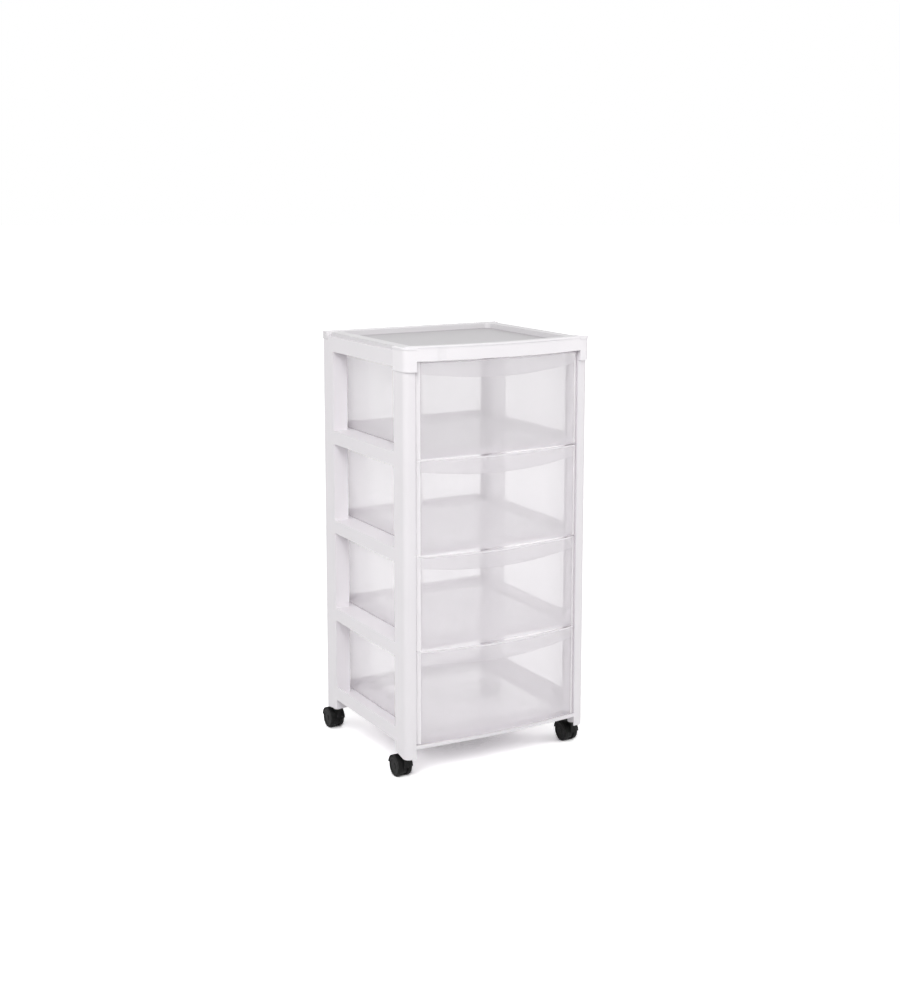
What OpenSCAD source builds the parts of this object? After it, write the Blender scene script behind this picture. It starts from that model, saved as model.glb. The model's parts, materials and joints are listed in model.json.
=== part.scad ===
// Plastic drawer tower on casters: a white ladder frame, four frosted drawers
// with bowed fronts, a recessed top and four twin-wheel casters.
// Millimetres. The origin is on the floor under the middle, +Z up, front at -Y.

/* [Overall] */
// Width over the lip of the front top rail
tower_w = 388; // [350:1:460]
// Depth from the middle of the bowed top rail to the back of the legs
tower_d = 367; // [350:1:440]

/* [Drawers] */
// Height from one drawer to the next
drawer_pitch = 174; // [140:1:230]
// How far the middle of a drawer front stands out
drawer_bow = 13; // [8:0.5:20]
// How far a drawer front hangs below its ledge
skirt_drop = 9.7; // [6:0.1:12]
// Gap between one drawer front and the next
front_gap = 2; // [1.5:0.1:4]
// Gap between a drawer front and each leg
side_gap = 1; // [0.6:0.1:3]
// Depth of the front's side returns
return_d = 12; // [10:0.5:16]
// Wall of the drawer front
front_t = 2.4; // [1.6:0.1:3.5]
// Wall of the tub
tub_t = 2; // [1.5:0.1:3]
// Corner radius of the tub
tub_r = 12; // [8:1:30]
// How much narrower each side of the tub is at the bottom
tub_draft = 6.5; // [4:0.5:14]
// Gap between the tub and the rear legs
tub_side_gap = 3; // [2:0.5:8]
// Gap behind the tub
tub_rear_gap = 8; // [4:0.5:20]
// Gap over the tub
tub_top_gap = 3; // [2:0.5:12]
// Height of the rolled rim of the tub
tub_rim_h = 4; // [3:0.5:8]
// Height of the pull at its ends
pull_end_h = 18; // [12:1:24]
// Height of the pull in the middle
pull_mid_h = 32; // [26:1:44]
// How far the pull flares out in the middle
pull_out = 9; // [4:0.5:11]

/* [Frame] */
// Width of the front legs, seen from the front
front_leg_w = 21; // [18:0.5:28]
// Depth of the front legs, seen from the side
front_leg_d = 42; // [40:1:60]
// Width of the rear legs
rear_leg_w = 29; // [24:0.5:36]
// Depth of the rear legs
rear_leg_d = 50; // [44:1:70]
// Radius of the legs' outer corners
leg_r = 11; // [6:0.5:14]
// Wall of the legs
leg_t = 2.5; // [2:0.1:4]
// Depth of the front legs' inner walls
leg_return_d = 12; // [6:0.5:13]
// How far the legs' bottom edges rise towards the inside
foot_rise = 6; // [3:0.5:7]
// Height of the solid foot over the leg bottoms, round the caster socket
foot_h = 40; // [36:1:60]
// Height of the rungs' outer faces
rung_h = 25; // [20:1:32]
// Thickness of the rungs' outer faces
rung_t = 3; // [2:0.1:5]
// Thickness of the ledges
ledge_t = 3; // [2:0.1:4]
// How far the ledges reach under the tubs
ledge_bear = 10; // [6:0.5:30]
// Height of the first ledge over the leg bottoms
ledge_rise = 36; // [34:1:60]
// Height of the bottom side rails' lower edges over the leg bottoms
side_base_rise = 25; // [20:1:26]
// Height of the bottom side rails
side_base_h = 26; // [24:1:40]
// Height of the top side rails
side_top_h = 28; // [20:1:34]
// Height of the cross ties
tie_h = 10; // [8:0.5:14]
// Depth of the front cross ties
front_tie_d = 13; // [8:0.5:18]
// Depth of the rear cross ties
rear_tie_d = 10; // [6:0.5:12]
// Height of the drawer stop over each ledge
stop_h = 8; // [5:0.5:20]

/* [Base] */
// How far the middle of the base front rail stands out
base_bow = 9; // [5:0.5:12]
// Height of the base front rail's lower edge over the leg bottoms
base_rise = 18; // [14:0.5:22]
// Thickness of the base front rail
base_t = 3; // [2:0.1:4]
// Depth of the base front rail behind the leg fronts
base_d = 28; // [20:1:36]

/* [Top] */
// How far the middle of the front top rail stands out
top_bow = 24; // [16:0.5:30]
// Height of the front top rail under its lip
top_rail_h = 23; // [20:0.5:32]
// Height of the lip
lip_h = 3; // [2:0.5:5]
// How far the lip overhangs the rail
lip_out = 1.2; // [0.6:0.1:2]
// How far the lip reaches inwards
lip_in = 6; // [4:0.5:6.5]
// Wall of the front top rail
top_rail_t = 2.4; // [2:0.1:3]
// Wall of the corner sleeves
sleeve_t = 1.5; // [1.2:0.1:2.5]
// Height of the corner sleeves
sleeve_h = 42; // [30:1:60]
// Height of the top tray's rim over the side frames
rim_h = 7.3; // [6:0.1:12]
// Inset of the rim from the side faces
rim_inset = 6; // [4:0.5:8]
// Width of the rim at the sides
rim_w = 22.5; // [21:0.5:30]
// Width of the rim at the front
rim_front_w = 36; // [24:1:50]
// Width of the rim at the rear
rim_rear_w = 4; // [4:1:30]
// Corner radius of the tray
tray_r = 10; // [6:1:16]
// Depth of the recess in the top
recess_h = 10.3; // [9.5:0.1:13]
// Wall of the top tray
tray_t = 2.5; // [2:0.1:3]
// Height of the rear bar
bar_h = 15; // [14:0.5:22]
// Depth of the rear bar
bar_d = 26; // [23:0.5:34]
// How far the rear bar sits down behind the side frames' tops
bar_sink = 7; // [4:0.5:10]

/* [Casters] */
// Diameter of the wheels
wheel_d = 38; // [34:0.5:50]
// Width of one wheel
wheel_w = 9; // [8:0.5:14]
// Thickness of the caster body between the wheels
web_t = 10; // [9.5:0.1:13]
// Gap between the caster body and each wheel
wheel_gap = 0.5; // [0.4:0.1:1]
// Distance from the stem's axis to the axle, level with the floor
trail = 18; // [16:0.5:24]
// Thickness of the hood over the wheels
hood_t = 1.4; // [1.2:0.1:2]
// Gap between the hood and the wheels
hood_gap = 0.6; // [0.4:0.1:1]
// Gap between the hood and the socket flange
swivel_gap = 0.8; // [0.6:0.1:2]
// Diameter of the stem
stem_d = 7; // [6:0.1:7.5]
// Length of the stem inside the socket
stem_l = 30; // [24:1:33]
// Diameter of the axle
axle_d = 5; // [4:0.1:6]
// Outer diameter of the socket
socket_d = 11; // [10.5:0.1:12]
// Thickness of the socket's flange
flange_t = 1.2; // [1:0.1:2]
// Diameter of the socket's flange
flange_d = 15; // [14:0.5:16]
// Distance from the side face of a leg to the stem's axis
stem_in_x = 10.5; // [10:0.1:12]
// Distance from the front legs' front faces to the stem's axis
stem_in_front = 24; // [18:0.5:28]
// Distance from the rear legs' rear faces to the stem's axis
stem_in_rear = 30; // [20:0.5:34]
// Running clearance of the stems and axles, on the radius
fit_gap = 0.05; // [0.02:0.01:0.1]

/* [Hidden] */
CORNERS = [
  ["front_left", -1, -1],
  ["front_right", 1, -1],
  ["rear_left", -1, 1],
  ["rear_right", 1, 1],
];
FRAME_NODES = ["left_side_frame", "right_side_frame", "top_tray", "front_top_rail",
               "back_rail", "base_front_rail", "base_rear_rail"];
CASTER_PARTS = ["socket", "stem", "body", "axle", "wheel_left", "wheel_right"];

// Gaps, seats and overlaps between walls that are one moulding
return_gap = 1.5; // behind the drawer fronts' returns
rim_gap = 0.4; // between the top tray's rim and the pieces before and behind it
rim_seat_w = 6; // where the rim's outer edge stands on the side frames
skirt_gap = 1.5; // under the bottom drawer's front
press_gap = 0.02; // round pieces that are pressed in
weld = 1; // how far walls run into each other

wheel_r = wheel_d / 2;
hood_r = wheel_r + hood_gap + hood_t;

// Plan: the side frames' outer faces, the legs' front and rear faces; the origin is
// midway between the bowed top rail and the rear casters
frame_half = tower_w / 2 - sleeve_t - lip_out;
caster_out = max(0, trail + hood_r - stem_in_rear);
y_rear = (tower_d - caster_out) / 2;
bow_y = y_rear - tower_d;
y_front = bow_y + top_bow + sleeve_t + lip_out;
front_leg_in = frame_half - front_leg_w;
rear_leg_in = frame_half - rear_leg_w;
window_l = y_rear - rear_leg_d - y_front - front_leg_d;

// Levels: legs, ledges, top
leg_z = wheel_r + hood_r + swivel_gap + flange_t;
ledge_z0 = leg_z + ledge_rise;
function ledge_z(k) = ledge_z0 + k * drawer_pitch;
top_rail_z = ledge_z(4) - skirt_drop;
crease_z = top_rail_z + top_rail_h;
side_top_z = crease_z - rim_h;
window_top_z = side_top_z - side_top_h;
bar_z = side_top_z - bar_sink;
base_z = leg_z + base_rise;

// Drawer sizes, from the frame round it
cap_half = front_leg_in - side_gap;
cap_h = drawer_pitch - front_gap;
tub_half = rear_leg_in - tub_side_gap;
tub_h = drawer_pitch - ledge_t - tie_h - tub_top_gap;
tub_front_y = y_front + front_t;
tub_rear_y = y_rear - rear_tie_d - tub_rear_gap;
ledge_in = tub_half - tub_draft - ledge_bear;
ledge_y = y_front + return_d + return_gap;
cap_r = 9; // radius of the front's outer corners
foot_boss_r = flange_d / 2;

// Points along a bowed front, from the left end to the right, set back by t.
// half: half width, y0: foremost y, bow: depth of the bow, r: end radius
function bow_r(half, bow) = (half * half + bow * bow) / (2 * bow);
function bow_pts(half, y0, bow, r, t = 0, turns = 6, steps = 22) =
  let (
    big = bow_r(half, bow),
    xc = half - r,
    yc = y0 + big - sqrt(pow(big - r, 2) - xc * xc),
    a1 = asin(xc / (big - r)),
    small = r - t
  )
  concat(
    [for (i = [0:turns - 1]) let (a = 180 + i * (90 - a1) / turns)
      [-xc + small * cos(a), yc + small * sin(a)]],
    [for (i = [0:steps]) let (a = -a1 + 2 * a1 * i / steps)
      [(big - t) * sin(a), y0 + big - (big - t) * cos(a)]],
    [for (i = [turns - 1:-1:0]) let (a = 180 + i * (90 - a1) / turns)
      [xc - small * cos(a), yc + small * sin(a)]]
  );

// Plan of a plate with a bowed front edge
module bowed_plan(half, y0, bow, r, y_back, t = 0) {
  polygon(concat(bow_pts(half, y0, bow, r, t), [[half - t, y_back], [-half + t, y_back]]));
}

// Plan of a rectangle with rounded corners
module round_rect(x0, y0, x1, y1, r) {
  translate([x0 + r, y0]) square([x1 - x0 - 2 * r, y1 - y0]);
  translate([x0, y0 + r]) square([x1 - x0, y1 - y0 - 2 * r]);
  for (x = [x0 + r, x1 - r], y = [y0 + r, y1 - r])
    translate([x, y]) circle(r = r, $fn = 32);
}

// ---------- side frames ----------

// Plan of a leg: the outer corner is at the origin and rounded
module leg_plan(w, d, t = 0) {
  r = leg_r - t;
  translate([leg_r, t]) square([w - leg_r, d - 2 * t]);
  translate([t, leg_r]) square([w - t, d - t - leg_r]);
  intersection() {
    translate([leg_r, leg_r]) circle(r = r, $fn = 48);
    square([leg_r + weld, leg_r + weld]);
  }
}

// Plan of a leg's hollow, open to the inside behind an inner wall of this depth
module channel_plan(w, d, wall_d) {
  difference() {
    leg_plan(w + 1, d, leg_t);
    translate([w - leg_t, 0]) square([leg_t + 2, wall_d]);
  }
}

// A leg in its own corner frame, hollow and open to the inside between rungs
module leg(w, d, stem_y, top_z, wall_d) {
  difference() {
    translate([0, 0, leg_z]) linear_extrude(top_z - leg_z) leg_plan(w, d);
    // channels between the rungs
    translate([0, 0, leg_z + foot_h]) linear_extrude(ledge_z(1) - rung_h - leg_z - foot_h)
      channel_plan(w, d, wall_d);
    for (k = [1:3])
      translate([0, 0, ledge_z(k)])
        linear_extrude((k < 3 ? ledge_z(k + 1) - rung_h : window_top_z) - ledge_z(k))
          channel_plan(w, d, wall_d);
    // hollow under the foot, round the socket boss
    difference() {
      translate([0, 0, leg_z - 1]) linear_extrude(foot_rise + 3) leg_plan(w + 1, d, leg_t);
      translate([stem_in_x, stem_y, leg_z - 2]) cylinder(r = foot_boss_r, h = foot_rise + 6, $fn = 48);
    }
    // bottom edge rises towards the inside
    difference() {
      translate([-1, 0, 0]) rotate([90, 0, 90]) linear_extrude(w + 2)
        polygon([[leg_r, leg_z], [leg_r, leg_z - 1], [d + 1, leg_z - 1], [d + 1, leg_z + foot_rise]]);
      translate([stem_in_x, stem_y, leg_z - 2]) cylinder(r = foot_boss_r, h = foot_rise + 6, $fn = 48);
    }
    // bore for the caster socket
    translate([stem_in_x, stem_y, leg_z - 1])
      cylinder(r = socket_d / 2 + press_gap, h = stem_l + 4, $fn = 48);
  }
}

// One rung: the outer face and the ledge that carries a drawer
module rung(z_low, h, z_ledge) {
  y0 = y_front + front_leg_d - weld;
  translate([-frame_half, y0, z_low]) cube([rung_t, y_rear - rear_leg_d + weld - y0, h]);
  translate([-frame_half + 0.5, y0, z_ledge - ledge_t])
    cube([frame_half - ledge_in - 0.5, y_rear - rear_leg_d + weld - y0, ledge_t]);
  translate([-front_leg_in - 0.5, ledge_y, z_ledge - ledge_t])
    cube([front_leg_in - ledge_in + 0.5, y0 + weld - ledge_y, ledge_t]);
  translate([-rear_leg_in - 0.5, y_rear - rear_leg_d, z_ledge - ledge_t])
    cube([rear_leg_in - ledge_in + 0.5, rear_leg_d - rear_tie_d, ledge_t]);
}

module left_frame_shape() {
  difference() {
    union() {
      translate([-frame_half, y_front, 0])
        leg(front_leg_w, front_leg_d, stem_in_front, side_top_z, leg_return_d);
      translate([-frame_half, y_rear, 0]) mirror([0, 1, 0])
        leg(rear_leg_w, rear_leg_d, stem_in_rear, side_top_z, 0);
      rung(leg_z + side_base_rise, side_base_h, ledge_z(0));
      for (k = [1:3]) rung(ledge_z(k) - rung_h, rung_h, ledge_z(k));
      // top side rail and its flange under the tray's rim
      translate([-frame_half, y_front + front_leg_d - weld, window_top_z])
        cube([rung_t, window_l + 2 * weld, side_top_h]);
      translate([-frame_half, y_front + front_leg_d - weld, side_top_z - ledge_t])
        cube([rim_inset + rim_w - 3, window_l + 2 * weld, ledge_t]);
    }
    // seat of the rear bar
    translate([-frame_half - 1, y_rear - bar_d - 0.5, bar_z])
      cube([rear_leg_w + 40, bar_d + 2, side_top_z]);
    // room for the tray's pan between the legs
    translate([-tray_pan_half, y_front - 1, side_top_z - tray_drop - 1])
      cube([2 * tray_pan_half, tower_d, side_top_z]);
  }
}
tray_drop = recess_h + tray_t - rim_h;
tray_pan_half = frame_half - rim_inset - rim_w + tray_t + 0.5;

module left_side_frame() { color("white") left_frame_shape(); }
module right_side_frame() { color("white") mirror([1, 0, 0]) left_frame_shape(); }

// ---------- top ----------

bow_half = tower_w / 2;
bow_end_r = leg_r + sleeve_t + lip_out;
bar_front_y = y_rear - bar_d;

// Plan of the tray's rim, set in from the rail and the side faces by t
module tray_plan(side, front, rear, r) {
  half = frame_half - side;
  intersection() {
    bowed_plan(bow_half, bow_y + front, top_bow, bow_end_r, bar_front_y);
    round_rect(-half, bow_y - 50, half, bar_front_y - rear, r);
  }
}

module top_tray() {
  color([0.86, 0.85, 0.86]) difference() {
    union() {
      translate([0, 0, side_top_z]) linear_extrude(rim_h)
        tray_plan(rim_inset, lip_out + lip_in + rim_gap, rim_gap, tray_r);
      translate([0, 0, side_top_z - tray_drop]) linear_extrude(tray_drop + 1)
        tray_plan(rim_inset + rim_w - tray_t, lip_in + rim_front_w - tray_t, rim_rear_w - tray_t,
                  tray_r);
    }
    // room for the sleeves' front walls
    for (s = [0, 1]) mirror([s, 0, 0]) translate([front_leg_in - rim_gap, bow_y, side_top_z - 1])
      cube([frame_half, y_front + rim_gap - bow_y, rim_h + 2]);
    // the recess
    translate([0, 0, crease_z - recess_h]) linear_extrude(recess_h + 1)
      tray_plan(rim_inset + rim_w, lip_in + rim_front_w, rim_rear_w, tray_r);
    // hollow under the rim, clear of its seats on the side frames
    translate([0, 0, side_top_z - 1]) linear_extrude(rim_h + 1 - tray_t) difference() {
      tray_plan(rim_inset + rim_seat_w, lip_out + lip_in + rim_gap + tray_t, rim_gap + tray_t,
                tray_r - tray_t);
      tray_plan(rim_inset + rim_w - tray_t, lip_in + rim_front_w - tray_t, rim_rear_w - tray_t,
                tray_r);
    }
  }
}

module front_top_rail() {
  sleeve_back = y_front + front_leg_d;
  color("white") {
    difference() {
      union() {
        // corner sleeves over the front legs
        translate([0, 0, crease_z - sleeve_h]) linear_extrude(sleeve_h) difference() {
          bowed_plan(bow_half, bow_y, top_bow, bow_end_r, sleeve_back, lip_out);
          translate([-front_leg_in, bow_y - 1]) square([2 * front_leg_in, tower_d]);
        }
        // bowed rail between them
        translate([0, 0, top_rail_z]) linear_extrude(top_rail_h) difference() {
          bowed_plan(bow_half, bow_y, top_bow, bow_end_r, sleeve_back, lip_out);
          intersection() {
            bowed_plan(bow_half, bow_y, top_bow, bow_end_r, sleeve_back + 1, lip_out + top_rail_t);
            translate([-front_leg_in, bow_y - 1]) square([2 * front_leg_in, tower_d]);
          }
        }
      }
      // the front legs pass up inside the sleeves
      for (s = [0, 1]) mirror([s, 0, 0]) translate([-frame_half, y_front, crease_z - sleeve_h - 1])
        linear_extrude(sleeve_h + 2) leg_plan(front_leg_w + 5, front_leg_d + 5);
    }
    // lip along the front, which overhangs the rail, and lower caps over the corners
    translate([0, 0, crease_z]) linear_extrude(lip_h) intersection() {
      lip_plan();
      translate([-tower_w, bow_y]) square([2 * tower_w, y_front + weld - bow_y]);
    }
    translate([0, 0, crease_z - lip_h]) linear_extrude(lip_h) difference() {
      lip_plan();
      translate([-front_leg_in, bow_y - 1]) square([2 * front_leg_in, tower_d]);
    }
  }
}

module lip_plan() {
  difference() {
    bowed_plan(bow_half, bow_y, top_bow, bow_end_r, y_front + front_leg_d);
    bowed_plan(bow_half, bow_y, top_bow, bow_end_r, tower_d, lip_out + lip_in);
  }
}

// Rounded bar along the rear of the top, seated on the rear legs
module back_rail() {
  r = bar_h / 2 - 0.2;
  color("white") intersection() {
    translate([-frame_half, 0, 0]) rotate([90, 0, 90]) linear_extrude(2 * frame_half)
      round_rect(bar_front_y, bar_z, y_rear, bar_z + bar_h, r);
    translate([0, 0, bar_z - 1]) linear_extrude(bar_h + 2)
      round_rect(-frame_half, bar_front_y, frame_half, y_rear, r);
  }
}

// ---------- base and ties ----------

module base_front_rail() {
  z_lip = ledge_z0 - skirt_drop - skirt_gap;
  color("white") intersection() {
    union() {
      translate([0, 0, base_z]) linear_extrude(base_t)
        bowed_plan(front_leg_in + 4, y_front - base_bow, base_bow, 3, y_front + base_d);
      translate([0, 0, base_z]) linear_extrude(z_lip - base_z) difference() {
        bowed_plan(front_leg_in + 4, y_front - base_bow, base_bow, 3, y_front + 8);
        bowed_plan(front_leg_in + 4, y_front - base_bow, base_bow, 3, y_front + 9, base_t);
      }
      translate([-front_leg_in, y_front + base_d - base_t, base_z])
        cube([2 * front_leg_in, base_t, ledge_z0 - ledge_t - base_z]);
    }
    translate([-front_leg_in, y_front - 50, 0]) cube([2 * front_leg_in, 200, 500]);
  }
}

module base_rear_rail() {
  color("white") translate([-rear_leg_in, y_rear - rear_tie_d, base_z])
    cube([2 * rear_leg_in, rear_tie_d, ledge_z0 + stop_h - base_z]);
}

module front_tie(k) {
  color("white") translate([-front_leg_in, ledge_y, ledge_z(k) - ledge_t - tie_h])
    cube([2 * front_leg_in, front_tie_d, tie_h]);
}

module rear_tie(k) {
  color("white") translate([-rear_leg_in, y_rear - rear_tie_d, ledge_z(k) - ledge_t - tie_h])
    cube([2 * rear_leg_in, rear_tie_d, tie_h + ledge_t + stop_h]);
}

// ---------- drawers ----------

// How far the pull hangs down, and flares out, at x
function pull_h(x) = pull_end_h + (pull_mid_h - pull_end_h) * (1 - pow(x / cap_half, 2));
function flare(x) = pull_out * (1 - pow(x / cap_half, 2));

// The bowed front with its flared pull, as rings of points from the skirt's lower
// edge to the crease under the pull and on to the top; z runs from the lower edge
module drawer_front() {
  outer = front_line(0);
  inner = front_line(front_t);
  n = len(outer);
  low = [for (p = concat(outer, inner)) [p.x, p.y, 0]];
  crease = concat(
    [for (i = [0:n - 1]) [outer[i].x, outer[i].y, cap_h - pull_h(outer[i].x)]],
    [for (i = [0:n - 1]) [inner[i].x, inner[i].y, cap_h - pull_h(outer[i].x)]]
  );
  top = concat(
    [for (i = [0:n - 1]) [outer[i].x, outer[i].y - flare(outer[i].x), cap_h]],
    [for (i = [0:n - 1]) [inner[i].x, inner[i].y - flare(outer[i].x), cap_h]]
  );
  // quads of one strip between rings a and b, both numbered from their first point
  function strip(a, b) = [for (i = [0:n - 2]) each quad(a + i, a + i + 1, b + i + 1, b + i)];
  function quad(a, b, c, d) = [[a, c, b], [a, d, c]];
  m = 2 * n;
  polyhedron(
    points = concat(low, crease, top),
    faces = concat(
      strip(0, m), strip(m, 2 * m),
      strip(m + n, n), strip(2 * m + n, m + n),
      strip(n, 0), strip(2 * m, 2 * m + n),
      quad(n, 0, m, m + n), quad(m + n, m, 2 * m, 2 * m + n),
      quad(n - 1, m - 1, 2 * m - 1, m + n - 1),
      quad(m + n - 1, 2 * m - 1, 3 * m - 1, 2 * m + n - 1)
    )
  );
}
function front_line(t) = concat(
  [[-cap_half + t, y_front + return_d]],
  bow_pts(cap_half, y_front - drawer_bow, drawer_bow, cap_r, t),
  [[cap_half - t, y_front + return_d]]
);

// The drafted tub as a solid, made smaller all round by t
module tub_solid(t, z0, z1) {
  hull() {
    translate([0, 0, z1 - 0.1]) linear_extrude(0.1)
      round_rect(-tub_half + t, tub_front_y + t, tub_half - t, tub_rear_y - t, tub_r - t);
    translate([0, 0, z0]) linear_extrude(0.1)
      round_rect(-tub_half + tub_draft + t, tub_front_y + t, tub_half - tub_draft - t,
                 tub_rear_y - tub_draft - t, tub_r - t);
  }
}

module drawer_shape() {
  difference() {
    union() {
      translate([0, 0, -skirt_drop]) drawer_front();
      tub_solid(0, 0, tub_h);
      // rolled rim
      translate([0, 0, tub_h - tub_rim_h]) linear_extrude(tub_rim_h)
        round_rect(-tub_half - 1, tub_front_y, tub_half + 1, tub_rear_y + 1, tub_r + 1);
      // back of the front's side returns
      for (s = [0, 1]) mirror([s, 0, 0])
        translate([tub_half - tub_draft - tub_t - 6, y_front + return_d - front_t, -skirt_drop])
          cube([cap_half - tub_half + tub_draft + tub_t + 6, front_t, cap_h]);
      // floor of the front's bay, from the tub to the bowed front
      linear_extrude(tub_t) bowed_plan(cap_half, y_front - drawer_bow, drawer_bow, cap_r,
                                       y_front + return_d, front_t / 2);
    }
    tub_solid(tub_t, tub_t, tub_h + 20);
    // the tub is open to the front's bay
    translate([0, 0, tub_t]) linear_extrude(cap_h) intersection() {
      bowed_plan(cap_half, y_front - drawer_bow, drawer_bow, cap_r, y_front + return_d + 30, front_t);
      translate([-tub_half + tub_draft + tub_t, -tower_d])
        square([2 * (tub_half - tub_draft - tub_t), 2 * tower_d]);
    }
  }
}

module drawer(i) {
  color([0.93, 0.93, 0.95, 0.6]) translate([0, 0, ledge_z(4 - i)]) drawer_shape();
}

// ---------- casters ----------

// Moves a caster part to its corner; the wheels trail to the rear
module at_corner(c) {
  x = c[1] * (frame_half - stem_in_x);
  y = c[2] < 0 ? y_front + stem_in_front : y_rear - stem_in_rear;
  translate([x, y, 0]) children();
}

module caster_socket() {
  color([0.2, 0.2, 0.21]) difference() {
    union() {
      translate([0, 0, leg_z - flange_t]) cylinder(r = flange_d / 2, h = flange_t, $fn = 48);
      translate([0, 0, leg_z - flange_t])
        cylinder(r = socket_d / 2, h = stem_l + 2 + flange_t, $fn = 48);
    }
    translate([0, 0, leg_z - flange_t - 1])
      cylinder(r = stem_d / 2 + fit_gap, h = stem_l + 1 + flange_t, $fn = 48);
  }
}

module caster_stem() {
  color("silver") translate([0, 0, stem_z])
    cylinder(r = stem_d / 2, h = leg_z + stem_l - 1 - stem_z, $fn = 48);
}
stem_z = wheel_r + axle_d / 2 + 2;

module caster_body() {
  boss_z = leg_z - flange_t - swivel_gap;
  neck_w = stem_d + 5;
  color([0.05, 0.05, 0.05]) difference() {
    union() {
      // web between the wheels, round the axle and up to the stem
      translate([-web_t / 2, trail, wheel_r]) rotate([0, 90, 0])
        cylinder(r = wheel_r - 2.5, h = web_t, $fn = 64);
      translate([-web_t / 2, -neck_w / 2, stem_z - 3]) cube([web_t, trail, boss_z - stem_z + 3]);
      // hood over both wheels
      intersection() {
        translate([-hood_w / 2, trail, wheel_r]) rotate([0, 90, 0]) difference() {
          cylinder(r = hood_r, h = hood_w, $fn = 96);
          translate([0, 0, -1]) cylinder(r = wheel_r + hood_gap, h = hood_w + 2, $fn = 96);
        }
        translate([-hood_w, trail - 2 * hood_r, wheel_r + 2]) cube([2 * hood_w, 4 * hood_r, hood_r]);
      }
      // ribs that join the web to the hood
      translate([-web_t / 2, trail, wheel_r]) rotate([0, 90, 0]) intersection() {
        cylinder(r = hood_r - hood_t / 2, h = web_t, $fn = 96);
        translate([-2 * hood_r, -hood_r * 0.7, -1]) cube([2 * hood_r, hood_r * 1.4, web_t + 2]);
      }
    }
    translate([0, 0, stem_z - press_gap]) cylinder(r = stem_d / 2 + press_gap, h = stem_l, $fn = 48);
    translate([-web_t, trail, wheel_r]) rotate([0, 90, 0])
      cylinder(r = axle_d / 2 + press_gap, h = 2 * web_t, $fn = 48);
  }
}
hood_w = web_t + 2 * wheel_gap + 2 * wheel_w + 0.6;
axle_half = web_t / 2 + wheel_gap + wheel_w - 2;

module caster_axle() {
  color("silver") translate([-axle_half, trail, wheel_r]) rotate([0, 90, 0])
    cylinder(r = axle_d / 2, h = 2 * axle_half, $fn = 48);
}

// A wheel on side s: a rounded tread, a dished outer face and a blind bore
module caster_wheel(s) {
  w = wheel_w;
  r = wheel_r;
  x0 = web_t / 2 + wheel_gap;
  color([0.06, 0.06, 0.06]) translate([0, trail, wheel_r]) rotate([0, s * 90, 0])
    translate([0, 0, x0]) rotate_extrude($fn = 96) polygon([
      [axle_d / 2 + fit_gap, 0], [r - 1.2, 0], [r, 1.2], [r, w - 2], [r - 0.6, w - 0.8],
      [r - 2, w], [r - 5, w], [r - 6, w - 1.2], [6, w - 1.2], [5, w - 0.2], [0, w - 0.2],
      [0, w - 1.7], [axle_d / 2 + fit_gap, w - 1.7]
    ]);
}

// ---------- drawing ----------

left_side_frame();
right_side_frame();
top_tray();
front_top_rail();
back_rail();
base_front_rail();
base_rear_rail();
for (i = [1:3]) {
  front_tie(4 - i);
  rear_tie(4 - i);
}
for (i = [1:4]) drawer(i);
for (c = CORNERS) at_corner(c) {
  caster_socket();
  caster_stem();
  caster_body();
  caster_axle();
  caster_wheel(-1);
  caster_wheel(1);
}
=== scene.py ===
"""Looks for the drawer tower: satin white ladder frame, frosted drawers, black twin-wheel casters.

Metres, in the CAD model's frame: the front is at -Y and the floor at z = 0.
"""
import json
import math

import bmesh
import bpy
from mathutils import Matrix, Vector


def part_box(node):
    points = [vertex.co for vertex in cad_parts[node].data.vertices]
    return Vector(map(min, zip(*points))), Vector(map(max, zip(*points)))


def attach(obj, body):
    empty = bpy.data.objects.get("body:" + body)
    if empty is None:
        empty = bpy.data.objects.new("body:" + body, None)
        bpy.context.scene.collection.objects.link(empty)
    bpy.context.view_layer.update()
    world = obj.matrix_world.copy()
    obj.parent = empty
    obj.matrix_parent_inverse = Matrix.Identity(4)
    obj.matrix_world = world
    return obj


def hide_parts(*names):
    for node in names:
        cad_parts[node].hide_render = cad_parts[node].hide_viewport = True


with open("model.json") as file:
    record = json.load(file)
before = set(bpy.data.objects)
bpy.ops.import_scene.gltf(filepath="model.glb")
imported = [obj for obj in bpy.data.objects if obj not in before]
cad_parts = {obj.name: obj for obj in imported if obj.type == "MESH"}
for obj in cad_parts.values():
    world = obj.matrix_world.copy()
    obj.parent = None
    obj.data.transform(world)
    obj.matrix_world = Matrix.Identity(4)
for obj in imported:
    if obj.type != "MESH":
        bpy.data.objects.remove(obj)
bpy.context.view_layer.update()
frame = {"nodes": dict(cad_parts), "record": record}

NODES = frame["nodes"]
MM = 0.001

# ---------- helpers ----------


def add(tree, kind, inputs=(), **settings):
    """A new node with its own settings, and its inputs set to values or linked to sockets."""
    node = tree.nodes.new(kind)
    for name, value in settings.items():
        setattr(node, name, value)
    feed(tree, node, inputs)
    return node


def feed(tree, node, inputs):
    """Sets a node's inputs, by name or number: a socket is linked, anything else is a value."""
    for name, value in dict(inputs).items():
        if isinstance(value, bpy.types.NodeSocket):
            tree.links.new(value, node.inputs[name])
        else:
            node.inputs[name].default_value = value


def mix_shaders(tree, share, first, second):
    """Two shaders in one, with this share of the second."""
    both = {0: share, 1: first.outputs[0], 2: second.outputs[0]}
    return add(tree, "ShaderNodeMixShader", both)


def between(tree, share, first, second):
    """A colour between two others, each of them a socket or a colour of three numbers."""
    ends = [c if isinstance(c, bpy.types.NodeSocket) else (*c, 1) for c in (first, second)]
    inputs = {"Factor": share, "A": ends[0], "B": ends[1]}
    return add(tree, "ShaderNodeMix", inputs, data_type="RGBA").outputs["Result"]


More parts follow.
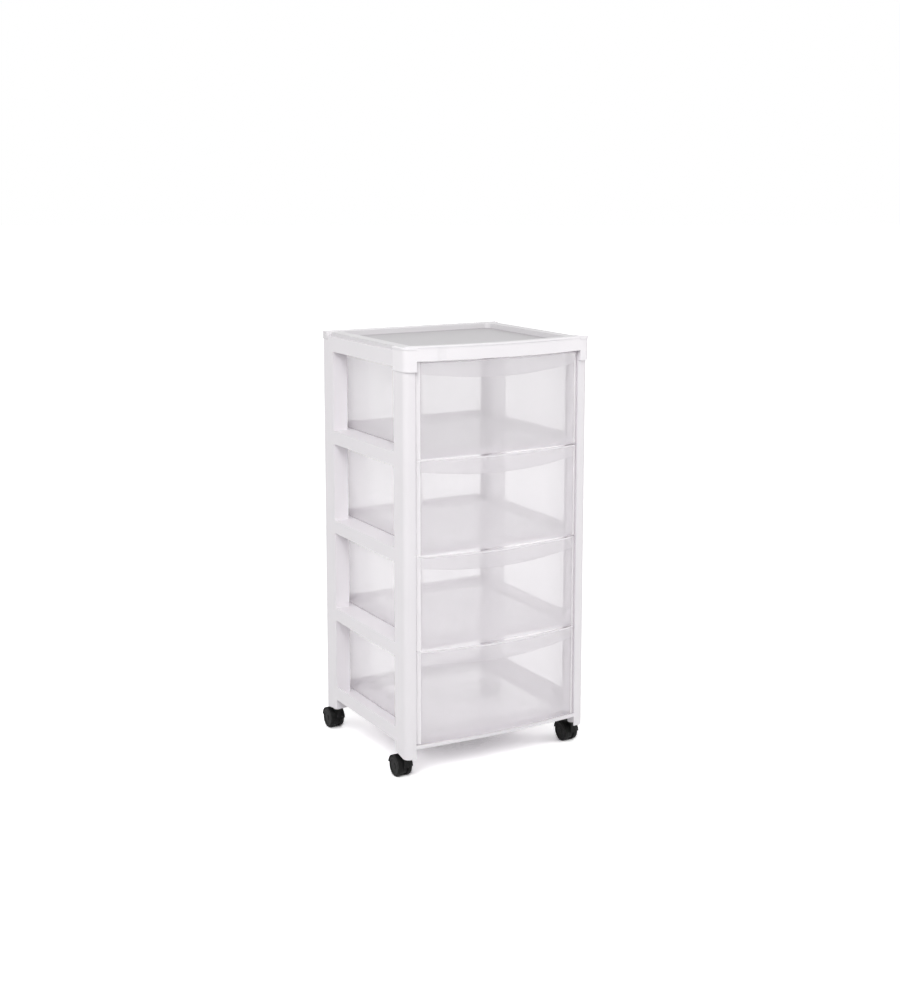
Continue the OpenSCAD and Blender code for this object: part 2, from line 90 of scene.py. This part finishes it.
def noise(tree, scale, detail):
    """Noise that is fixed to the object."""
    place = add(tree, "ShaderNodeTexCoord").outputs["Object"]
    inputs = {"Vector": place, "Scale": scale, "Detail": detail}
    return add(tree, "ShaderNodeTexNoise", inputs).outputs["Fac"]


def link_to_scene(name, data):
    """A new object in the scene."""
    item = bpy.data.objects.new(name, data)
    bpy.context.scene.collection.objects.link(item)
    return item


# ---------- camera, lights, floor ----------

CAMERA_AT = (-1.4106, -2.4813, 1.0919)
CAMERA_TURN = math.radians(29.441)
CAMERA_DOWN = math.radians(8.553)
CAMERA_LENS = 55.09
CAMERA_SHIFT = -0.10
CAMERA_REACH = 30

# Soft boxes: name, place, what they are turned towards, width, height, power in watts
LAMPS = (
    ("key", (-1.3, -1.8, 2.1), (0, 0, 0.5), 1.2, 1.2, 32),
    ("side", (-2.6, 0.2, 1.2), (0, 0, 0.45), 1.0, 1.0, 3),
    ("strip", (2.9, -1.9, 0.9), (0, 0, 0.4), 0.25, 1.6, 15),
)

WORLD_LIGHT = 0.96
# How bright the studio is at each height of the sky, from the horizon (0) to straight up (1)
SKY = ((0.0, 0.35), (0.22, 0.90), (0.55, 0.92), (1.0, 0.55))

FLOOR_HALF = 40.0
FLOOR_CELLS = 8
# Grey of the floor for the light that it throws back at the object
FLOOR_GREY = 0.48
# Brightness of the floor as the camera sees it in the open. It is above 1, so that the floor
# comes out white in this soft light, and only the shadow shows.
FLOOR_SEEN = 1.65
# Brightness of the painted contact shadow where the floor is darkest, right under a piece
PAINTED_SHADOW_SEEN = 0.15
# How far from a piece the painted contact shadow may still darken the floor
PAINTED_SHADOW_REACH = 0.20
PAINTED_SHADOW_SAMPLES = 24
# Openness, from 0 to 1, at which the painted contact shadow is darkest, and from which on the
# floor isn't darkened
PAINTED_SHADOW_RANGE = (0.08, 0.22)


def make_camera():
    data = bpy.data.cameras.new("camera")
    data.lens = CAMERA_LENS
    data.shift_y = CAMERA_SHIFT
    data.clip_end = CAMERA_REACH
    camera = link_to_scene("camera", data)
    camera.location = CAMERA_AT
    camera.rotation_euler = (math.pi / 2 - CAMERA_DOWN, 0, -CAMERA_TURN)
    bpy.context.scene.camera = camera


def area_light(name, at, target, width, height, power):
    """A soft box, upright, turned towards its target."""
    data = bpy.data.lights.new(name, "AREA")
    data.shape = "RECTANGLE"
    data.size = width
    data.size_y = height
    data.energy = power
    lamp = link_to_scene(name, data)
    lamp.location = at
    lamp.rotation_euler = (Vector(target) - Vector(at)).to_track_quat("-Z", "Y").to_euler()


def seen_by_camera(tree):
    """1 for camera, glossy and transmission rays, 0 for those that light a matt surface."""
    rays = add(tree, "ShaderNodeLightPath").outputs
    first = {0: rays["Is Camera Ray"], 1: rays["Is Glossy Ray"]}
    seen = add(tree, "ShaderNodeMath", first, operation="MAXIMUM")
    second = {0: seen.outputs[0], 1: rays["Is Transmission Ray"]}
    return add(tree, "ShaderNodeMath", second, operation="MAXIMUM").outputs[0]


def make_world():
    """Soft light all round, dimmer at the horizon and overhead, on a background seen as white."""
    world = bpy.data.worlds.new("studio")
    bpy.context.scene.world = world
    world.use_nodes = True
    tree = world.node_tree
    tree.nodes.clear()
    place = add(tree, "ShaderNodeTexCoord")
    axes = add(tree, "ShaderNodeSeparateXYZ", {0: place.outputs["Generated"]})
    level = add(tree, "ShaderNodeValToRGB", {"Fac": axes.outputs["Z"]})
    stops = level.color_ramp.elements
    stops[0].position = SKY[0][0]
    stops[1].position = SKY[-1][0]
    for height, _ in SKY[1:-1]:
        stops.new(height)
    for stop, (_, grey) in zip(stops, SKY):
        stop.color = (grey, grey, grey, 1)
    dimmed = {"Color": level.outputs["Color"], "Strength": WORLD_LIGHT}
    light = add(tree, "ShaderNodeBackground", dimmed)
    white = add(tree, "ShaderNodeBackground", {"Color": (1, 1, 1, 1), "Strength": 1.0})
    both = mix_shaders(tree, seen_by_camera(tree), light, white)
    add(tree, "ShaderNodeOutputWorld", {"Surface": both.outputs[0]})


def floor_material():
    """Grey for the light it throws back, white to the camera but for the object's shadow, deepened
    near the pieces by a painted contact shadow.
    """
    material = bpy.data.materials.new("floor")
    material.use_nodes = True
    tree = material.node_tree
    tree.nodes.clear()
    paper = add(tree, "ShaderNodeBsdfDiffuse", {"Color": (FLOOR_GREY, FLOOR_GREY, FLOOR_GREY, 1)})
    near = add(tree, "ShaderNodeAmbientOcclusion", {"Distance": PAINTED_SHADOW_REACH},
               samples=PAINTED_SHADOW_SAMPLES)
    # The floor's colour darkens with ambient occlusion: a painted contact shadow
    level = add(tree, "ShaderNodeMapRange", {
        "Value": near.outputs["AO"],
        "From Min": PAINTED_SHADOW_RANGE[0], "From Max": PAINTED_SHADOW_RANGE[1],
        "To Min": PAINTED_SHADOW_SEEN, "To Max": FLOOR_SEEN,
    })
    seen = add(tree, "ShaderNodeBsdfDiffuse", {"Color": level.outputs["Result"]})
    both = mix_shaders(tree, seen_by_camera(tree), paper, seen)
    add(tree, "ShaderNodeOutputMaterial", {"Surface": both.outputs[0]})
    return material


def make_floor():
    bm = bmesh.new()
    bmesh.ops.create_grid(bm, x_segments=FLOOR_CELLS, y_segments=FLOOR_CELLS, size=FLOOR_HALF)
    mesh = bpy.data.meshes.new("floor")
    bm.to_mesh(mesh)
    bm.free()
    mesh.materials.append(floor_material())
    link_to_scene("floor", mesh)


# ---------- materials ----------

PLASTIC_IOR = 1.49
# Slow drift between a plastic's two tints
DRIFT_SCALE = 9.0
DRIFT_DETAIL = 3
# Fine grain of the surface, and how much duller or glossier it is from grain to grain
GRAIN_DETAIL = 4
GRAIN_DEPTH = 0.0002
GLOSSIER = 0.06
DULLER = 0.08
# Shine of the black plastic, where 0.5 is that of a common plastic
MATT_SHINE = 0.12
# Tint of what a frosted wall lets straight through, and how rough its shine is
THROUGH_TINT = (0.982, 0.979, 0.982, 1)
SHINE_ROUGHNESS = 0.2
# Schlick's law: the share that is reflected face on, and the power by which it grows edge on
SHINE_FACE_ON = 0.04
SHINE_POWER = 5
# The tray is darker and stippled from this far under its rim's top
RECESS_FROM = 9 * MM
STIPPLE_SCALE = 420
STIPPLE_DETAIL = 2
STIPPLE_TINTS = ((0.48, 0.465, 0.48), (0.55, 0.535, 0.55))
# Paler tints for drawer faces made less clear as painted light: the tub's floor, the front's
# rounded corners and the end plates
PAINTED_LIGHT_TINTS = ((0.97, 0.955, 0.97), (0.99, 0.975, 0.99))


def plastic(name, tints, roughness, grain, bump):
    """Moulded plastic: a slow drift between two close tints, a fine grain, uneven gloss."""
    material = bpy.data.materials.new(name)
    material.use_nodes = True
    tree = material.node_tree
    fine = noise(tree, grain, GRAIN_DETAIL)
    gloss = add(tree, "ShaderNodeMapRange", {
        "Value": fine, "To Min": roughness - GLOSSIER, "To Max": roughness + DULLER,
    })
    relief = add(tree, "ShaderNodeBump", {
        "Height": fine, "Strength": bump, "Distance": GRAIN_DEPTH,
    })
    feed(tree, tree.nodes["Principled BSDF"], {
        "IOR": PLASTIC_IOR,
        "Base Color": between(tree, noise(tree, DRIFT_SCALE, DRIFT_DETAIL), *tints),
        "Roughness": gloss.outputs["Result"],
        "Normal": relief.outputs["Normal"],
    })
    return material


def schlick(tree):
    """Share of light that a smooth plastic surface reflects: little face on, all of it edge on."""
    facing = add(tree, "ShaderNodeLayerWeight", {"Blend": 0.5}).outputs["Facing"]
    power = add(tree, "ShaderNodeMath", {0: facing, 1: SHINE_POWER}, operation="POWER")
    line = {0: power.outputs[0], 1: 1 - SHINE_FACE_ON, 2: SHINE_FACE_ON}
    return add(tree, "ShaderNodeMath", line, operation="MULTIPLY_ADD").outputs[0]


def frosted(name, tints, clear, onward=0.5):
    """Frosted plastic. The clear share of the light goes straight through one face, and the rest
    is scattered: the onward share of it onwards, and what remains back."""
    material = plastic(name, tints, roughness=0.38, grain=700, bump=0.2)
    tree = material.node_tree
    back = tree.nodes["Principled BSDF"]
    tint = back.inputs["Base Color"].links[0].from_socket
    onwards = add(tree, "ShaderNodeBsdfTranslucent", {"Color": tint})
    scattered = mix_shaders(tree, onward, back, onwards)
    through = add(tree, "ShaderNodeBsdfTransparent", {"Color": THROUGH_TINT})
    body = mix_shaders(tree, clear, scattered, through)
    shine = add(tree, "ShaderNodeBsdfGlossy", {"Roughness": SHINE_ROUGHNESS})
    whole = mix_shaders(tree, schlick(tree), body, shine)
    feed(tree, tree.nodes["Material Output"], {"Surface": whole.outputs[0]})
    return material


def tray_painted_shade():
    """Pale plastic, greyer than the frame as painted shade on its upward faces, with a darker,
    stippled floor to the recess.
    """
    # The rim's tints are greyer than the frame's: painted shade for the weak light from above
    material = plastic("top_tray", ((0.66, 0.645, 0.66), (0.70, 0.685, 0.70)),
                       roughness=0.42, grain=900, bump=0.15)
    tree = material.node_tree
    shader = tree.nodes["Principled BSDF"]
    place = add(tree, "ShaderNodeTexCoord")
    axes = add(tree, "ShaderNodeSeparateXYZ", {0: place.outputs["Object"]})
    recess_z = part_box("top_tray")[1].z - RECESS_FROM
    low = add(tree, "ShaderNodeMath", {0: axes.outputs["Z"], 1: recess_z}, operation="LESS_THAN")
    grey = between(tree, noise(tree, STIPPLE_SCALE, STIPPLE_DETAIL), *STIPPLE_TINTS)
    rim = shader.inputs["Base Color"].links[0].from_socket
    feed(tree, shader, {"Base Color": between(tree, low.outputs[0], rim, grey)})
    return material


def matt_black(name, tints, roughness, grain, bump):
    """Black plastic with almost no shine."""
    material = plastic(name, tints, roughness, grain, bump)
    shader = material.node_tree.nodes["Principled BSDF"]
    shader.inputs["Specular IOR Level"].default_value = MATT_SHINE
    return material


def steel():
    """Zinc-plated steel."""
    material = plastic("zinc_steel", ((0.50, 0.50, 0.52), (0.62, 0.62, 0.63)),
                       roughness=0.32, grain=2200, bump=0.1)
    material.node_tree.nodes["Principled BSDF"].inputs["Metallic"].default_value = 1.0
    return material


def make_materials():
    return {
        "frame": plastic("frame_white", ((0.82, 0.795, 0.82), (0.86, 0.835, 0.86)),
                         roughness=0.42, grain=900, bump=0.15),
        "top_panel": tray_painted_shade(),
        # Paler than the frame: painted light on the front top rail
        "rail": plastic("rail_white_painted_light", ((0.87, 0.845, 0.87), (0.91, 0.885, 0.91)),
                        roughness=0.36, grain=900, bump=0.12),
        # Greyer than the frame: painted shade on the back rail
        "bar": plastic("bar_white_painted_shade", ((0.75, 0.73, 0.75), (0.79, 0.77, 0.79)),
                       roughness=0.26, grain=900, bump=0.12),
        "drawer": frosted("drawer_frosted", ((0.93, 0.915, 0.93), (0.96, 0.945, 0.96)),
                          clear=0.70),
        # Greyer and less clear than the drawers: painted shade on the crescent pull
        "pull": frosted("drawer_pull_painted_shade", ((0.87, 0.855, 0.87), (0.93, 0.915, 0.93)), clear=0.66),
        # Paler and less clear than the drawers: a painted highlight along the front's top edge
        "bead": frosted("drawer_bead_painted_highlight", ((0.95, 0.935, 0.95), (0.98, 0.965, 0.98)), clear=0.3),
        # Paler and less clear than the drawers: painted light on the tub's floor
        "base": frosted("drawer_base_painted_light", PAINTED_LIGHT_TINTS, clear=0.5),
        # Paler and less clear than the drawers: a painted highlight on the front's rounded corners
        "corner": frosted("drawer_corner_painted_highlight", PAINTED_LIGHT_TINTS, clear=0.3, onward=0.2),
        # Paler and almost opaque: a painted highlight on the end plates
        "ends": frosted("drawer_ends_painted_highlight", PAINTED_LIGHT_TINTS, clear=0.1, onward=0.2),
        "caster_black": matt_black("caster_black", ((0.005, 0.005, 0.005), (0.01, 0.01, 0.01)),
                                   roughness=0.4, grain=1500, bump=0.25),
        "wheel_black": matt_black("wheel_black", ((0.007, 0.007, 0.007), (0.013, 0.013, 0.013)),
                                  roughness=0.55, grain=1800, bump=0.35),
        "socket": plastic("socket_black", ((0.03, 0.03, 0.03), (0.05, 0.05, 0.05)),
                          roughness=0.5, grain=1500, bump=0.2),
        "steel": steel(),
    }


# ---------- CAD nodes that stay ----------

# Edges sharper than this are rounded
EDGE_ANGLE = math.radians(35)
EDGE_SEGMENTS = 2
# Faces that lie in one plane to this angle are joined before the edges are rounded
FLAT_ANGLE = math.radians(0.5)
WELD_REACH = 0.00001
# Width of the rounded edges, by material slot
EDGES = {"frame": 0.7 * MM, "top_panel": 0.7 * MM, "steel": 0.3 * MM}
SMALL_EDGE = 0.4 * MM
# Pieces given a paler or greyer copy of the frame's plastic: painted light on the front top rail,
# painted shade on the back rail
PAINTED_LIGHT_AND_SHADE = {"back_rail": "bar", "front_top_rail": "rail"}


def round_edges(piece, width):
    bevel = piece.modifiers.new("edges", "BEVEL")
    bevel.width = width
    bevel.segments = EDGE_SEGMENTS
    bevel.limit_method = "ANGLE"
    bevel.angle_limit = EDGE_ANGLE
    bevel.harden_normals = True


def dress(node, material, edge):
    """Gives a CAD node its material, and rounds its edges with modifiers."""
    piece = NODES[node]
    mesh = piece.data
    mesh.materials.clear()
    mesh.materials.append(material)
    weld = piece.modifiers.new("weld", "WELD")
    weld.merge_threshold = WELD_REACH
    planar = piece.modifiers.new("planar", "DECIMATE")
    planar.decimate_type = "DISSOLVE"
    planar.angle_limit = FLAT_ANGLE
    round_edges(piece, edge)


def dress_cad(materials):
    """Dresses every CAD node but the drawers, which get pieces of their own."""
    for subpart in frame["record"]["subparts"]:
        node, slot = subpart["node"], subpart["material_slot"]
        if slot != "drawer":
            dress(node, materials[PAINTED_LIGHT_AND_SHADE.get(node, slot)], EDGES.get(slot, SMALL_EDGE))


# ---------- drawers ----------

# Sizes that are the CAD model's own
Y_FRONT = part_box("left_side_frame")[0].y
REAR_TIE_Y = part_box("rear_tie_1")[0].y
FRONT_BOW = 13 * MM
FRONT_END_R = 9 * MM
FRONT_T = 2.4 * MM
RETURN_D = 12 * MM
SKIRT_DROP = 9.7 * MM
PULL_END_H = 18 * MM
PULL_MID_H = 32 * MM
PULL_OUT = 9 * MM
REAR_LEG_W = 29 * MM
TUB_SIDE_GAP = 3 * MM
TUB_REAR_GAP = 8 * MM
TUB_HALF = -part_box("left_side_frame")[0].x - REAR_LEG_W - TUB_SIDE_GAP
TUB_H = 158 * MM
TUB_T = 2 * MM
TUB_R = 12 * MM
TUB_DRAFT = 6.5 * MM
RIM_H = 4 * MM
RIM_OUT = 1 * MM

# Rows and columns of the meshes
BOW_TURNS = 8
BOW_STEPS = 56
PANEL_LEVELS = (0, 0.02, 0.3, 0.6, 0.9, 1)
PULL_ROWS = 8
BEAD_SIDES = 10
FILLET_STEPS = 5
TUB_LEVELS = (0.3, 0.6, 1.0)
TUB_TURNS = 8

# Round bead along the top edge, and how far under its top the front's wall ends
BEAD_R = 1.5 * MM
PANEL_DROP = 0.4 * MM
# A point of the front's plan is on the bow if it is this far before the legs
BOW_FROM = 1 * MM
# The pull stands this far before the wall, and curves outwards by this power of its height
PULL_PROUD = 0.2 * MM
PULL_CURVE = 0.8
# A front's rounded corners are the faces that lie more than this within its ends
END_SKIN = 0.5 * MM
# The tub clears the ledge that carries it, and starts within the front's wall
TUB_LIFT = 0.2 * MM
TUB_START = 1 * MM
TUB_LEAST_R = 4 * MM
FLOOR_FILLET = 3 * MM
# Faces of the tub's floor: level to this, and within this height
FLOOR_LEVEL = 0.9
FLOOR_BAND = 1 * MM
# End plates: their distance from the front's lower and upper edges, and from the tub's wall
PLATE_RISE = 1 * MM
PLATE_DROP = 6 * MM
PLATE_LAP = 1 * MM
# Walls and rounded edges of the pieces that have no such size in the CAD model
PULL_T = 1.6 * MM
FRONT_EDGE = 0.5 * MM
PULL_EDGE = 0.3 * MM
# Edges of a drawer's sheets sharper than this aren't shaded smooth
SMOOTH_ANGLE = math.radians(40)
# Points of a mesh closer than this are one
SAME_POINT = 1e-6


def bow_line(half, inset=0.0):
    """Plan of a bowed front from its left end to its right, as (x, y), set back by inset."""
    front = Y_FRONT - FRONT_BOW
    big = (half * half + FRONT_BOW * FRONT_BOW) / (2 * FRONT_BOW)
    corner_x = half - FRONT_END_R
    corner_y = front + big - math.sqrt((big - FRONT_END_R) ** 2 - corner_x**2)
    lean = math.asin(corner_x / (big - FRONT_END_R))
    small = FRONT_END_R - inset
    line = []
    for i in range(BOW_TURNS):
        a = math.pi + i * (math.pi / 2 - lean) / BOW_TURNS
        line.append((-corner_x + small * math.cos(a), corner_y + small * math.sin(a)))
    for i in range(BOW_STEPS + 1):
        a = -lean + 2 * lean * i / BOW_STEPS
        line.append(((big - inset) * math.sin(a), front + big - (big - inset) * math.cos(a)))
    line += [(-x, y) for x, y in reversed(line[:BOW_TURNS])]
    return line


def front_line(half):
    """Plan of a drawer's front with its two side returns."""
    back = Y_FRONT + RETURN_D
    return [(-half, back)] + bow_line(half) + [(half, back)]


def on_bow(y):
    return y < Y_FRONT - BOW_FROM


def crown(x, half):
    """1 in the middle of a front, 0 at its ends."""
    return 1 - (x / half) ** 2


def pull_flare(x, half):
    return PULL_OUT * crown(x, half)


def pull_height(x, half):
    return PULL_END_H + (PULL_MID_H - PULL_END_H) * crown(x, half)


def panel_rings(low, high):
    """The bowed wall of a drawer's front, from the skirt's lower edge to the top."""
    top = high.z - PANEL_DROP
    return [[(x, y, low.z + share * (top - low.z)) for x, y in front_line(high.x)]
            for share in PANEL_LEVELS]


def pull_rings(high):
    """The crescent pull: it leaves the wall along a curve and flares out to the top."""
    half = high.x
    line = [(x, y) for x, y in front_line(half) if on_bow(y)]
    top = high.z - BEAD_R
    rings = []
    for row in range(PULL_ROWS + 1):
        t = row / PULL_ROWS
        rings.append([(x, y - PULL_PROUD - t**PULL_CURVE * pull_flare(x, half),
                       top - (1 - t) * pull_height(x, half)) for x, y in line])
    return rings


def bead_path(high):
    """Along the top edge of the front: out over the pull, and back along the returns."""
    half = high.x
    return [(x * (1 - BEAD_R / half), y + BEAD_R - pull_flare(x, half) * on_bow(y),
             high.z - BEAD_R) for x, y in front_line(half)]


def tub_path(half, rear, radius, front):
    """Plan of the tub's wall, from the front on the left round the rear to the front again."""
    path = [(-half, front), (-half, (front + rear) / 2)]
    for i in range(TUB_TURNS + 1):
        a = math.pi - i * math.pi / 2 / TUB_TURNS
        path.append((-half + radius + radius * math.cos(a), rear - radius + radius * math.sin(a)))
    path += [(-x, y) for x, y in reversed(path)]
    return path


def tub_rings(ledge):
    """The tub's wall from the floor up: floor fillet, drafted wall, rolled rim."""
    rear = REAR_TIE_Y - TUB_REAR_GAP
    profile = []
    for i in range(FILLET_STEPS + 1):
        a = i / FILLET_STEPS * math.pi / 2
        inset = TUB_DRAFT + FLOOR_FILLET * (1 - math.sin(a))
        profile.append((inset, FLOOR_FILLET * (1 - math.cos(a))))
    for share in TUB_LEVELS:
        z = FLOOR_FILLET + share * (TUB_H - RIM_H - FLOOR_FILLET)
        profile.append((TUB_DRAFT * (1 - z / TUB_H), z))
    profile.append((-RIM_OUT, TUB_H - RIM_H))
    profile.append((-RIM_OUT, TUB_H))
    rings = []
    for inset, z in profile:
        radius = max(TUB_R - inset, TUB_LEAST_R)
        path = tub_path(TUB_HALF - inset, rear - inset, radius, Y_FRONT + TUB_START)
        rings.append([(x, y, ledge + z) for x, y in path])
    return rings


def skin(bm, rings, closed=False):
    """A sheet through rings of points; returns the rings' vertices."""
    made = [[bm.verts.new(p) for p in ring] for ring in rings]
    for low, high in zip(made, made[1:]):
        n = len(low)
        for i in range(n if closed else n - 1):
            j = (i + 1) % n
            bm.faces.new((low[i], low[j], high[j], high[i]))
    return made


def tube(bm, path, radius, sides):
    """A closed round bead along a level path."""
    up = Vector((0, 0, 1))
    rings = []
    for i, point in enumerate(path):
        ahead = Vector(path[min(i + 1, len(path) - 1)]) - Vector(path[max(i - 1, 0)])
        across = Vector((-ahead.y, ahead.x, 0)).normalized()
        turns = [2 * math.pi * k / sides for k in range(sides)]
        rings.append([Vector(point) + radius * (math.cos(a) * across + math.sin(a) * up)
                      for a in turns])
    made = skin(bm, rings, closed=True)
    bm.faces.new(made[0])
    bm.faces.new(list(reversed(made[-1])))


def to_piece(bm, name, material, thickness=0, edge=0):
    """A mesh object: a sheet is thickened inwards, and the edges are rounded."""
    bmesh.ops.remove_doubles(bm, verts=bm.verts, dist=SAME_POINT)
    bmesh.ops.recalc_face_normals(bm, faces=bm.faces)
    mesh = bpy.data.meshes.new(name)
    bm.to_mesh(mesh)
    bm.free()
    for polygon in mesh.polygons:
        polygon.use_smooth = True
    mesh.set_sharp_from_angle(angle=SMOOTH_ANGLE)
    mesh.materials.append(material)
    piece = link_to_scene(name, mesh)
    if thickness:
        solid = piece.modifiers.new("wall", "SOLIDIFY")
        solid.thickness = thickness
        solid.offset = -1
        solid.use_even_offset = True
    if edge:
        round_edges(piece, edge)
    return piece


def second_material(piece, material, has_it):
    """Gives the faces for which has_it is true another material."""
    piece.data.materials.append(material)
    for polygon in piece.data.polygons:
        polygon.material_index = int(has_it(polygon))


def make_front(node, low, high, materials):
    """The bowed wall with its returns, paler and less clear round the corners as a painted
    highlight.
    """
    bm = bmesh.new()
    skin(bm, panel_rings(low, high))
    front = to_piece(bm, f"{node}_front", materials["drawer"], FRONT_T, FRONT_EDGE)
    half = high.x
    second_material(front, materials["corner"],
                  lambda face: half - FRONT_END_R < abs(face.center.x) < half - END_SKIN)
    return front


def make_pull(node, high, materials):
    bm = bmesh.new()
    skin(bm, pull_rings(high))
    return to_piece(bm, f"{node}_pull", materials["pull"], PULL_T, PULL_EDGE)


def make_bead(node, high, materials):
    bm = bmesh.new()
    tube(bm, bead_path(high), BEAD_R, BEAD_SIDES)
    return to_piece(bm, f"{node}_bead", materials["bead"])


def make_tub(node, low, high, materials):
    """The tub with its floor, which runs forward to the back of the bowed front."""
    ledge = low.z + SKIRT_DROP + TUB_LIFT
    bm = bmesh.new()
    floor_line = skin(bm, tub_rings(ledge))[0]
    bay = [bm.verts.new((x, y, ledge)) for x, y in reversed(bow_line(high.x, FRONT_T))
           if abs(x) < floor_line[-1].co.x]
    bm.faces.new(floor_line + bay)
    tub = to_piece(bm, f"{node}_tub", materials["drawer"], TUB_T, SMALL_EDGE)
    # The floor of the tub gets the paler, less clear plastic: painted light
    second_material(tub, materials["base"], lambda face: (
        abs(face.normal.z) > FLOOR_LEVEL and face.center.z < ledge + FLOOR_BAND))
    return tub


def make_ends(node, low, high, materials):
    """Plates behind the front's ends, from the returns to the tub's drafted wall, paler and almost
    opaque as a painted highlight.
    """
    bottom, top = low.z + PLATE_RISE, high.z - PLATE_DROP
    y = Y_FRONT + RETURN_D - FRONT_T
    bm = bmesh.new()
    for side in (-1, 1):
        inner_low = side * (TUB_HALF - TUB_DRAFT + PLATE_LAP)
        inner_high = side * (TUB_HALF - PLATE_LAP)
        outer = side * (high.x - FRONT_T)
        skin(bm, [[(inner_low, y, bottom), (outer, y, bottom)],
                  [(inner_high, y, top), (outer, y, top)]])
    return to_piece(bm, f"{node}_ends", materials["ends"], FRONT_T, SMALL_EDGE)


def make_drawer(node, materials):
    """The five pieces that stand for a drawer's solid."""
    low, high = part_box(node)
    pieces = (
        make_front(node, low, high, materials),
        make_pull(node, high, materials),
        make_bead(node, high, materials),
        make_tub(node, low, high, materials),
        make_ends(node, low, high, materials),
    )
    for piece in pieces:
        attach(piece, node)
        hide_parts(node)


# ---------- the scene ----------

# Light passes many frosted walls before it is spent
CLEAR_BOUNCES = 32
ALL_BOUNCES = 16
DIFFUSE_BOUNCES = 8


def main():
    scene = bpy.context.scene
    scene.view_settings.view_transform = "Standard"
    scene.cycles.transparent_max_bounces = CLEAR_BOUNCES
    scene.cycles.max_bounces = ALL_BOUNCES
    scene.cycles.diffuse_bounces = DIFFUSE_BOUNCES
    make_camera()
    make_world()
    make_floor()
    for lamp in LAMPS:
        area_light(*lamp)
    materials = make_materials()
    dress_cad(materials)
    for number in range(1, 5):
        make_drawer(f"drawer_{number}", materials)


main()
